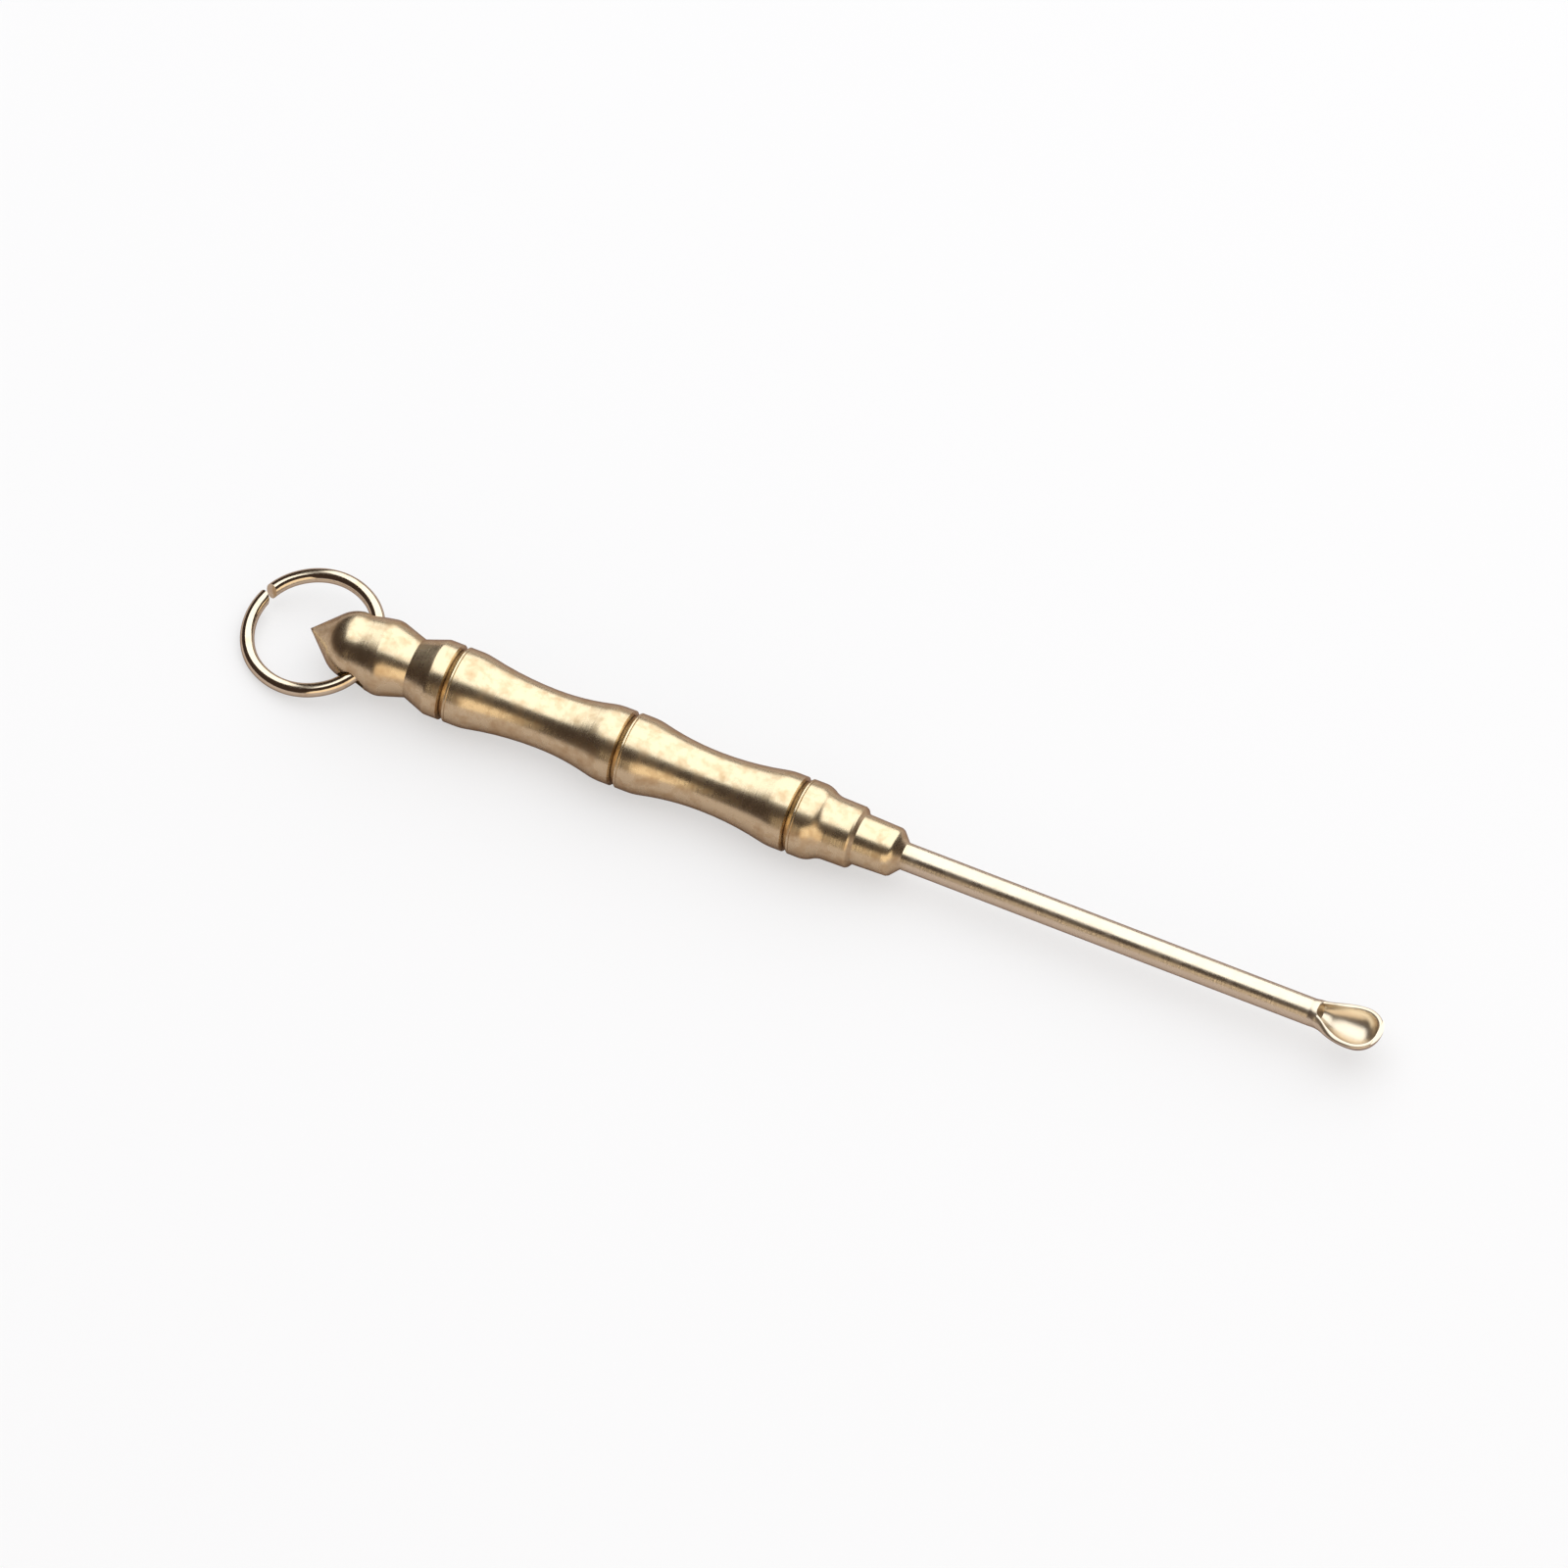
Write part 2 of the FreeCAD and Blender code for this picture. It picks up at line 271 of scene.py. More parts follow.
def grid_object(name: str, points: np.ndarray, sharp_deg: float) -> bpy.types.Object:
    """Make a closed, smoothly shaded piece from a grid of points.

    Each row of the grid is one closed section, and each cell of neighbouring rows and columns is
    one face. Points that coincide are merged, which closes poles and collapsed stretches, and an
    end that stays open is capped.

    Args:
        name: Name of the piece.
        points: Array of sections by points by xyz, in metres.
        sharp_deg: Edges that turn by more than this stay sharp.

    Returns:
        The object, linked to the scene.
    """
    rows, columns, _ = points.shape
    row, column = np.meshgrid(np.arange(rows - 1), np.arange(columns), indexing="ij")
    beside = (column + 1) % columns
    corners = [row * columns + column, row * columns + beside,
               (row + 1) * columns + beside, (row + 1) * columns + column]
    quads = np.stack(corners, -1).reshape(-1, 4)
    mesh = bpy.data.meshes.new(name)
    mesh.from_pydata(points.reshape(-1, 3).tolist(), [], quads.tolist())
    shape = bmesh.new()
    shape.from_mesh(mesh)
    bmesh.ops.remove_doubles(shape, verts=shape.verts, dist=MERGE_MM * MM)
    bmesh.ops.dissolve_degenerate(shape, edges=shape.edges, dist=SLIVER_MM * MM)
    open_edges = [edge for edge in shape.edges if edge.is_boundary]
    if open_edges:
        bmesh.ops.holes_fill(shape, edges=open_edges, sides=0)
    bmesh.ops.recalc_face_normals(shape, faces=shape.faces)
    shape.to_mesh(mesh)
    shape.free()
    shade(mesh, sharp_deg)
    piece = bpy.data.objects.new(name, mesh)
    bpy.context.scene.collection.objects.link(piece)
    return piece


def shade(mesh: bpy.types.Mesh, sharp_deg: float) -> None:
    """Shade a mesh smoothly, with sharp edges where it turns by more than the given degrees."""
    mesh.shade_smooth()
    mesh.set_sharp_from_angle(angle=math.radians(sharp_deg))


def head_point(axis_height: float) -> np.ndarray:
    """Find the point of the head, which all places on the pick and the ring are measured from.

    Args:
        axis_height: Height of the pick's axis above the surface, in millimetres.

    Returns:
        The point in metres.
    """
    low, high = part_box("ear_pick")
    return np.array([low.x, (low.y + high.y) / 2, axis_height * MM])


def away_from_object(azimuth_deg: float, elevation_deg: float) -> Vector:
    """Turn a viewing angle into a direction.

    Args:
        azimuth_deg: Angle round the object from its front, positive to the right.
        elevation_deg: Angle above the level.

    Returns:
        Unit vector from the object.
    """
    azimuth, elevation = math.radians(azimuth_deg), math.radians(elevation_deg)
    return Vector((math.sin(azimuth) * math.cos(elevation),
                   -math.cos(azimuth) * math.cos(elevation), math.sin(elevation)))


def ease(value: np.ndarray) -> np.ndarray:
    """Rise softly from 0 to 1: three times the square less twice the cube of the value."""
    t = np.clip(value, 0, 1)
    return t * t * (3 - 2 * t)


def circle_height(radius: float | np.ndarray, offset: np.ndarray) -> np.ndarray:
    """Height of a circle at an offset from its middle, by Pythagoras, and zero outside it."""
    return np.sqrt(np.clip(radius ** 2 - offset ** 2, 0, None))


def bezier(poles: list[tuple[float, float]], count: int) -> np.ndarray:
    """Points of a cubic curve: the poles weighted (1-t)^3, 3t(1-t)^2, 3t^2(1-t) and t^3.

    Args:
        poles: Four points.
        count: How many points to return.

    Returns:
        Array of count points.
    """
    t = np.linspace(0, 1, count)[:, None]
    weights = np.hstack([(1 - t) ** 3, 3 * t * (1 - t) ** 2, 3 * t ** 2 * (1 - t), t ** 3])
    return weights @ np.array(poles)


def egg_radius(along: np.ndarray, small_r: float, large_r: float, span: float,
               shoulder: float) -> np.ndarray:
    """Radius of an egg: a small ball, a flank of two tangent arcs, and the front of a large ball.

    The flank starts level at the small ball's middle and ends level at the large one's, so its
    two arcs turn by twice the angle of the line between its ends. The shoulder is the arc at the
    large ball, and the hollow arc takes what is left of the span.

    Args:
        along: Places from the small ball's middle towards the large one.
        small_r: Radius of the small ball.
        large_r: Radius of the large ball.
        span: Distance between the balls' middles.
        shoulder: Radius of the flank's arc at the large ball.

    Returns:
        The radius at each place, zero outside the egg.
    """
    turn = 2 * math.atan((large_r - small_r) / span)
    hollow = span / math.sin(turn) - shoulder
    low = small_r + hollow - circle_height(hollow, along)
    high = large_r - shoulder + circle_height(shoulder, span - along)
    radius = np.where(along < hollow * math.sin(turn), low, high)
    radius = np.where(along < 0, circle_height(small_r, along), radius)
    return np.where(along > span, circle_height(large_r, along - span), radius)


def tangent_point(x: float, r: float, centre_x: float, centre_r: float,
                  radius: float) -> tuple[float, float]:
    """Where the line from (x, r) over the top of a circle touches that circle.

    The line's length is the root of the squared distance to the middle less the squared radius,
    and it leaves the line to the middle by the angle whose sine is radius over distance.

    Args:
        x: Place of the outside point along the axis.
        r: Its distance from the axis.
        centre_x: Place of the circle's middle along the axis.
        centre_r: Its distance from the axis.
        radius: Radius of the circle.

    Returns:
        The touching point.
    """
    reach = math.hypot(centre_x - x, centre_r - r)
    touch = math.sqrt(reach ** 2 - radius ** 2)
    side = 1 if centre_x > x else -1
    angle = math.atan2(centre_r - r, abs(centre_x - x)) + math.asin(radius / reach)
    return x + side * touch * math.cos(angle), r + touch * math.sin(angle)


class Outline:
    """The half outline of the turned bar, cut by cut from its point, in millimetres."""

    def __init__(self) -> None:
        """Start at the point, on the axis."""
        self.points: list[np.ndarray] = [np.zeros((1, 2))]

    @property
    def end(self) -> np.ndarray:
        """The last point."""
        return self.points[-1][-1]

    def line_to(self, x: float, r: float, step: float = LINE_STEP_MM) -> None:
        """Add a straight cut.

        Args:
            x: Place of its end along the axis.
            r: Radius at its end.
            step: Spacing of its points.
        """
        count = max(1, int(np.hypot(x - self.end[0], r - self.end[1]) / step))
        t = np.linspace(0, 1, count + 1)[1:, None]
        self.points.append(self.end * (1 - t) + np.array([x, r]) * t)

    def arc_to(self, x: float, r: float, centre_x: float, centre_r: float) -> None:
        """Add a round cut, the short way about its centre.

        Args:
            x: Place of its end along the axis.
            r: Radius of the bar at its end.
            centre_x: Place of the arc's centre along the axis.
            centre_r: The centre's distance from the axis.
        """
        radius = math.hypot(x - centre_x, r - centre_r)
        first = math.atan2(self.end[1] - centre_r, self.end[0] - centre_x)
        last = math.atan2(r - centre_r, x - centre_x)
        sweep = (last - first + math.pi) % math.tau - math.pi
        count = max(2, int(abs(math.degrees(sweep)) / ARC_STEP_DEG))
        angle = first + sweep * np.linspace(0, 1, count + 1)[1:]
        self.points.append(np.stack([centre_x + radius * np.cos(angle),
                                     centre_r + radius * np.sin(angle)], -1))

    def up_to_crest(self, centre_x: float, top_r: float, radius: float) -> None:
        """Cut straight to a round crest and on to its top.

        Args:
            centre_x: Place of the crest's top along the axis.
            top_r: Radius of the bar at the top.
            radius: Radius of the crest's round.
        """
        centre_r = top_r - radius
        self.line_to(*tangent_point(self.end[0], self.end[1], centre_x, centre_r, radius))
        self.arc_to(centre_x, top_r, centre_x, centre_r)

    def over_crest(self, centre_x: float, top_r: float, radius: float, x: float, r: float) -> None:
        """Cut straight to a round crest, over it, and straight down again.

        Args:
            centre_x: Place of the crest's top along the axis.
            top_r: Radius of the bar at the top.
            radius: Radius of the crest's round.
            x: Place of the end along the axis.
            r: Radius at the end.
        """
        centre_r = top_r - radius
        start = tangent_point(self.end[0], self.end[1], centre_x, centre_r, radius)
        end = tangent_point(x, r, centre_x, centre_r, radius)
        self.line_to(*start)
        self.arc_to(*end, centre_x, centre_r)
        self.line_to(x, r)

    def past_corner(self, corner_x: float, corner_r: float, bevel: float, x: float,
                    r: float) -> None:
        """Cut straight to a corner, bevelled by the same length on both sides, and straight on.

        Args:
            corner_x: Place of the corner along the axis.
            corner_r: Radius at the corner.
            bevel: Length that the bevel takes off each side.
            x: Place of the end along the axis.
            r: Radius at the end.
        """
        start_x, start_r = self.end
        near = bevel / math.hypot(corner_x - start_x, corner_r - start_r)
        far = bevel / math.hypot(x - corner_x, r - corner_r)
        self.line_to(corner_x + (start_x - corner_x) * near, corner_r + (start_r - corner_r) * near)
        self.line_to(corner_x + (x - corner_x) * far, corner_r + (r - corner_r) * far)
        self.line_to(x, r)

    def ogee_to(self, x: float, r: float, high_round: float) -> None:
        """Cut two tangent arcs that are level at both ends.

        Each arc turns by twice the angle of the line between the ends, and the radii add up to
        the run divided by the sine of that turn.

        Args:
            x: Place of the end along the axis.
            r: Radius of the bar at the end.
            high_round: Radius of the arc at the higher end.
        """
        start_x, start_r = self.end
        run = x - start_x
        rise = r - start_r
        turn = 2 * math.atan(abs(rise) / run)
        low_round = run / math.sin(turn) - high_round
        first, second = (high_round, -low_round) if rise < 0 else (-low_round, high_round)
        switch_x = start_x + abs(first) * math.sin(turn)
        switch_r = start_r - first * (1 - math.cos(turn))
        self.arc_to(switch_x, switch_r, start_x, start_r - first)
        self.arc_to(x, r, x, r - second)


# The pick

@dataclass
class ScoopSections:
    """What the scoop's sections are cut from. Each array is a column with a row per section.

    A section stands at (x, z) on the middle line and leans forward by an angle. The other sizes
    lie in its own plane, with heights from the middle line, in millimetres.
    """

    x: np.ndarray
    z: np.ndarray
    lean: np.ndarray        # radians
    outer: np.ndarray       # radius of the outside
    level: np.ndarray       # height of the rim's cut
    inner: np.ndarray       # radius of the hollow, zero before it starts
    inner_up: np.ndarray    # height of the hollow's middle
    crown: np.ndarray       # rise of the top over the rim's cut

    @property
    def half_width(self) -> np.ndarray:
        """Half the width of the outside at the rim's cut."""
        return circle_height(self.outer, self.level)

    def top(self, across: np.ndarray) -> np.ndarray:
        """Height of the top before it is hollowed: an arc over the cut that rises by the crown.

        Args:
            across: Places across each section.

        Returns:
            The height at each place.
        """
        radius = (self.half_width ** 2 + self.crown ** 2) / (2 * self.crown)
        inside = np.minimum(np.abs(across), self.half_width)
        return self.level + self.crown - radius + circle_height(radius, inside)

    def half_opening(self, start: np.ndarray, drop: float | np.ndarray) -> np.ndarray:
        """Find half the width at which the hollow's circle comes out through the top.

        The width of the circle at the top's height is averaged with the last guess until it
        settles.

        Args:
            start: First guess for each section.
            drop: How far below the top the circle is met.

        Returns:
            Half the opening's width.
        """
        half = start
        for _ in range(SETTLING_ROUNDS):
            found = circle_height(self.inner, self.top(half) - drop - self.inner_up)
            half = (half + np.minimum(found, self.half_width)) / 2
        return half


@dataclass
class Scoop:
    """The pressed scoop, an egg-shaped bowl that lifts from the rod's end. Sizes in millimetres."""

    rod_end: float
    rod_r: float
    length: float = 4.73
    bowl_r: float = 1.32
    bowl_wall: float = 0.316
    bowl_lift: float = 0.6
    bowl_shoulder: float = 4.9      # arc by which the outside swells into the bowl
    tip_wall: float = 0.4
    throat_r: float = 0.46
    throat_inset: float = 0.22      # from the rod's end to the middle of the hollow's small ball
    throat_lift: float = 0.42       # height of that middle
    throat_shoulder: float = 3.19   # arc by which the hollow swells
    rim_at_tip: float = 0.5
    rim_slope_deg: float = 5.0
    rim_round: float = 0.14
    ramp_before: float = 0.4        # from the ramp's start to the rod's end
    ramp_length: float = 1.2
    bend_before: float = 0.5        # from the start of the sections' lean to the rod's end
    bend_length: float = 1.0
    crown_fade: float = 2.3         # run over which the rod's round top fades to the rim's cut
    least_crown: float = 1e-6       # keeps the radius of a flat top finite
    least_opening: float = 0.02     # a narrower hollow is left out
    stations: int = 110
    ramp_points: int = 80
    outside_points: int = 144
    rim_points: int = 19
    inside_points: int = 61

    @property
    def tip(self) -> float:
        """The far end of the scoop."""
        return self.rod_end + self.length

    @property
    def rim_slope(self) -> float:
        """Rise of the rim for each millimetre towards the tip."""
        return math.tan(math.radians(self.rim_slope_deg))

    def rim_height(self, x: np.ndarray) -> np.ndarray:
        """Height of the cut over the scoop: down a soft ramp from the rod's top, then up the rim.

        The ramp is a cubic curve that leaves the rod level and meets the rising rim in line.

        Args:
            x: Places along the axis.

        Returns:
            The height above the axis at each place.
        """
        start = self.rod_end - self.ramp_before
        end = start + self.ramp_length
        knee = (start + end) / 2
        ramp = bezier([(start, self.rod_r), (knee, self.rod_r),
                       (knee, self.rim_at_tip - (self.tip - knee) * self.rim_slope),
                       (end, self.rim_at_tip - (self.tip - end) * self.rim_slope)],
                      self.ramp_points)
        return np.where(x < end, np.interp(x, ramp[:, 0], ramp[:, 1]),
                        self.rim_at_tip - (self.tip - x) * self.rim_slope)

    def place_sections(self) -> ScoopSections:
        """Lay the sections along a middle line that lifts from the rod's axis to the bowl's middle.

        They stand closer towards the tip, by a sine. The outside is an egg round the middle line,
        and the hollow is a second egg on a line of its own. The top starts as round as the rod,
        and its crown fades to the rim's cut, so that the rod's highlight runs on to the throat.

        Returns:
            The sections from the ramp's start to the tip.
        """
        outer_r = self.bowl_r + self.bowl_wall
        bowl_at = self.tip - math.sqrt(outer_r ** 2 - (self.bowl_lift - self.rim_at_tip) ** 2)
        pitch = math.atan2(self.bowl_lift, bowl_at - self.rod_end)
        span = math.hypot(bowl_at - self.rod_end, self.bowl_lift)
        start = -self.ramp_before
        quarter = np.linspace(0, math.pi / 2, self.stations)
        along = start + (span + outer_r - start) * np.sin(quarter)
        lean = pitch * ease((along + self.bend_before) / self.bend_length)
        x = self.rod_end + np.where(along < 0, along, along * math.cos(pitch))
        z = np.where(along < 0, 0, along * math.sin(pitch))
        egg = egg_radius(along, self.rod_r, outer_r, span, self.bowl_shoulder)
        outer = np.where(along < 0, self.rod_r, egg)
        level = (self.rim_height(x) - z) / (np.cos(lean) + self.rim_slope * np.sin(lean))

        hollow_start = self.rod_end + self.throat_inset
        hollow_run = bowl_at - (self.tip_wall - self.bowl_wall) - hollow_start
        hollow_rise = self.bowl_lift - self.throat_lift
        hollow_pitch = math.atan2(hollow_rise, hollow_run)
        inner = egg_radius((x - hollow_start) / math.cos(hollow_pitch), self.throat_r, self.bowl_r,
                           math.hypot(hollow_run, hollow_rise), self.throat_shoulder)
        inner_up = self.throat_lift + (x - hollow_start) * math.tan(hollow_pitch) - z

        keep = (level < outer + SLACK_MM) & (level > -outer)
        keep[0] = True
        level = np.minimum(level, outer)
        crown = (outer - level) * (1 - ease((x - self.rod_end) / self.crown_fade))
        columns = (x, z, lean, outer, level, inner, inner_up / np.cos(lean),
                   crown + self.least_crown)
        return ScoopSections(*(column[keep][:, None] for column in columns))

    def sections(self) -> np.ndarray:
        """The scoop as crescents, each a closed section square to the middle line.

        A crescent is the outer circle below the rim, the top with a softly rounded edge, the
        inner circle below the rim, and the same top on the other side. Where there is no hollow
        yet, the inner part is a point.

        Returns:
            Array of sections by points by xyz, in millimetres from the point of the head.
        """
        cut = self.place_sections()
        half_in = cut.half_opening(0 * cut.inner, 0.0)
        is_open = half_in > self.least_opening
        bevel = np.where(is_open, np.clip((cut.half_width - half_in) / 2, 0, self.rim_round), 0)
        half_in = np.where(is_open, cut.half_opening(half_in, bevel), 0)

        low_out = cut.level - bevel
        edge = np.arctan2(low_out, circle_height(cut.outer, low_out))
        t = np.linspace(0, 1, self.outside_points)
        around = edge * (1 - t) + (-math.pi - edge) * t
        outside = np.stack([cut.outer * np.cos(around), cut.outer * np.sin(around)], -1)

        q = (1 - np.cos(np.linspace(0, math.pi, self.rim_points + 2)[1:-1])) / 2
        across = -cut.outer * np.cos(edge) * (1 - q) - half_in * q
        rounded = bevel * (np.sqrt(1 - (2 * q - 1) ** 2) - 1)
        left_rim = np.stack([across, cut.top(across) + rounded], -1)
        right_rim = left_rim[:, ::-1] * (-1, 1)

        low_in = np.where(is_open, np.arctan2(cut.top(half_in) - bevel - cut.inner_up, half_in), 0)
        t = np.linspace(0, 1, self.inside_points)
        around = (-math.pi - low_in) * (1 - t) + low_in * t
        hollow = np.stack([cut.inner * np.cos(around),
                           cut.inner_up + cut.inner * np.sin(around)], -1)
        peak = np.stack([0 * around, cut.level + cut.crown + 0 * around], -1)
        inside = np.where(is_open[..., None], hollow, peak)

        crescents = np.concatenate([outside, left_rim, inside, right_rim], 1)
        across, up = crescents[..., 0], crescents[..., 1]
        return np.stack([cut.x - up * np.sin(cut.lean), across, cut.z + up * np.cos(cut.lean)], -1)


@dataclass
class Pick:
    """The turned and pressed pick. Sizes in millimetres, and places from the point of the head."""

    bar_r: float = 2.5
    shoulder_at: float = 3.25
    shoulder_r: float = 2.22
    head_land: float = 0.35
    swelling_at: float = 5.3
    swelling_round: float = 1.4
    neck_at: float = 7.27
    neck_r: float = 1.95
    flare_run: float = 1.62         # from the neck to the flare's crest
    flare_round: float = 0.5
    first_groove: float = 9.75
    node_pitch: float = 11.89
    groove_width: float = 0.46
    groove_depth: float = 0.32
    groove_wall: float = 0.1        # run of the steep wall
    scribe_gap: float = 0.1
    scribe_width: float = 0.08
    scribe_depth: float = 0.035
    land_before_groove: float = 0.62    # run of full width
    land_after_groove: float = 0.72
    crest_round: float = 4.2
    waists: tuple[tuple[float, float], ...] = ((1.95, 6.4), (1.96, 5.86))   # radius, place
    knob_length: float = 4.06
    knob_land: float = 0.72
    knob_fall: float = 1.5
    knob_round: float = 1.5
    knob_neck_r: float = 2.07
    step_length: float = 0.27
    step_bevel: float = 0.08
    step_r: float = 2.04
    collar_length: float = 2.4
    collar_start_r: float = 1.68
    collar_end_r: float = 1.6
    nose_length: float = 0.65
    nose_bevel: float = 0.1
    rod_length: float = 28.04
    rod_r: float = 0.9
    hole_at: float = 3.82
    hole_r: float = 1.0
    hole_roll_deg: float = 18.0
    hole_sides: int = 96
    drill_reach: float = 3.75
    sides: int = 144
    sharp_deg: float = 24.0
    finish: TurnedBrass = field(default_factory=TurnedBrass)

    @property
    def handle_end(self) -> float:
        """Where the knob's step meets the collar."""
        return self.first_groove + 2 * self.node_pitch + self.groove_width + self.knob_length

    @property
    def collar_end(self) -> float:
        """Where the collar meets its conical nose."""
        return self.handle_end + self.collar_length

    @property
    def rod_end(self) -> float:
        """Where the straight rod ends and the bowl begins to swell."""
        return self.collar_end + self.nose_length + self.rod_length

    def groove(self, outline: Outline, x: float) -> None:
        """Add a parted groove, a V with a steep wall, and the scribed line beside it.

        Args:
            outline: The outline to add to.
            x: Where the groove starts.
        """
        mark = x + self.groove_width + self.scribe_gap
        outline.line_to(x, self.bar_r)
        outline.line_to(x + self.groove_wall, self.bar_r - self.groove_depth, FINE_STEP_MM)
        outline.line_to(x + self.groove_width, self.bar_r, FINE_STEP_MM)
        outline.line_to(mark, self.bar_r)
        outline.line_to(mark + self.scribe_width / 2, self.bar_r - self.scribe_depth)
        outline.line_to(mark + self.scribe_width, self.bar_r)

    def turned_outline(self, end: float) -> np.ndarray:
        """The outline from the point over the head, the bamboo nodes, the knob and the collar.

        Args:
            end: Where the turned outline stops on the rod.

        Returns:
            Array of places along the axis and radii, in millimetres.
        """
        outline = Outline()
        outline.up_to_crest(self.shoulder_at, self.shoulder_r, self.shoulder_r)
        outline.line_to(self.shoulder_at + self.head_land, self.shoulder_r)
        outline.over_crest(self.swelling_at, self.bar_r, self.swelling_round,
                           self.neck_at, self.neck_r)
        outline.up_to_crest(self.neck_at + self.flare_run, self.bar_r, self.flare_round)
        self.groove(outline, self.first_groove)
        for index, (waist_r, place) in enumerate(self.waists):
            start = self.first_groove + index * self.node_pitch
            outline.line_to(start + self.groove_width + self.land_after_groove, self.bar_r)
            outline.ogee_to(start + place + self.groove_width / 2, waist_r, self.crest_round)
            outline.ogee_to(start + self.node_pitch - self.land_before_groove, self.bar_r,
                            self.crest_round)
            self.groove(outline, start + self.node_pitch)
        knob_crest = self.handle_end - self.knob_length + self.knob_land
        outline.line_to(knob_crest, self.bar_r)
        outline.ogee_to(knob_crest + self.knob_fall, self.knob_neck_r, self.knob_round)
        outline.past_corner(self.handle_end - self.step_length, self.step_r, self.step_bevel,
                            self.handle_end, self.collar_start_r)
        outline.past_corner(self.collar_end, self.collar_end_r, self.nose_bevel,
                            self.collar_end + self.nose_length, self.rod_r)
        outline.line_to(end, self.rod_r)
        return np.vstack(outline.points)

    def turned_sections(self, end: float, width: int) -> np.ndarray:
        """The turned part as circles: for each (x, r) of the outline, (x, r cos a, r sin a).

        The angle runs down from the top. The circles' last point is repeated to fill their rows,
        and the repeats merge later.

        Args:
            end: Where the turned part stops on the rod. The circle there is left to the scoop.
            width: How many points a row holds.

        Returns:
            Array of sections by points by xyz, in millimetres from the point of the head.
        """
        outline = self.turned_outline(end)[:-1]
        x, r = outline[:, :1], outline[:, 1:]
        angle = np.linspace(0, 1, self.sides) * -math.tau + math.pi / 2
        circles = np.stack([x + 0 * angle, r * np.cos(angle), r * np.sin(angle)], -1)
        return np.concatenate([circles, np.repeat(circles[:, -1:], width - self.sides, 1)], 1)

    def build(self) -> bpy.types.Object:
        """Build the whole pick in place of its CAD node.

        Returns:
            The finished piece.
        """
        scoop = Scoop(self.rod_end, self.rod_r, outside_points=self.sides)
        pressed = scoop.sections()
        turned = self.turned_sections(self.rod_end - scoop.ramp_before, pressed.shape[1])
        origin = head_point(self.bar_r)
        piece = grid_object("pick", np.concatenate([turned, pressed]) * MM + origin, self.sharp_deg)
        self.drill(piece, origin)
        piece.data.materials.append(self.finish.material())
        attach(piece, "pick")
        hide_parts("ear_pick")
        return piece

    def drill(self, piece: bpy.types.Object, origin: np.ndarray) -> None:
        """Cut the cross hole through the head with a cylinder that is longer than the bar is wide.

        Args:
            piece: The pick.
            origin: The point of the head on the axis, in metres.
        """
        # Rows from the drill's near pole over its two rims to its far pole
        angle = np.linspace(0, math.tau, self.hole_sides + 1)[:-1]
        depth = np.array([-1, -1, 1, 1])[:, None] * self.drill_reach
        wide = np.array([0, 1, 1, 0])[:, None] * self.hole_r
        drill = np.stack([wide * np.cos(angle), depth + 0 * angle, wide * np.sin(angle)], -1)
        roll = np.array(Matrix.Rotation(math.radians(self.hole_roll_deg), 3, "X"))
        drill = drill @ roll.T + np.array([self.hole_at, 0, 0])
        cutter = grid_object("hole_cutter", drill * MM + origin, self.sharp_deg)
        cut = piece.modifiers.new("hole", "BOOLEAN")
        cut.object = cutter
        cut.solver = "EXACT"
        bpy.context.view_layer.update()
        drilled = piece.evaluated_get(bpy.context.evaluated_depsgraph_get())
        result = bpy.data.meshes.new_from_object(drilled)
        piece.modifiers.clear()
        piece.data = result
        shade(result, self.sharp_deg)
        bpy.data.objects.remove(cutter)


# The ring

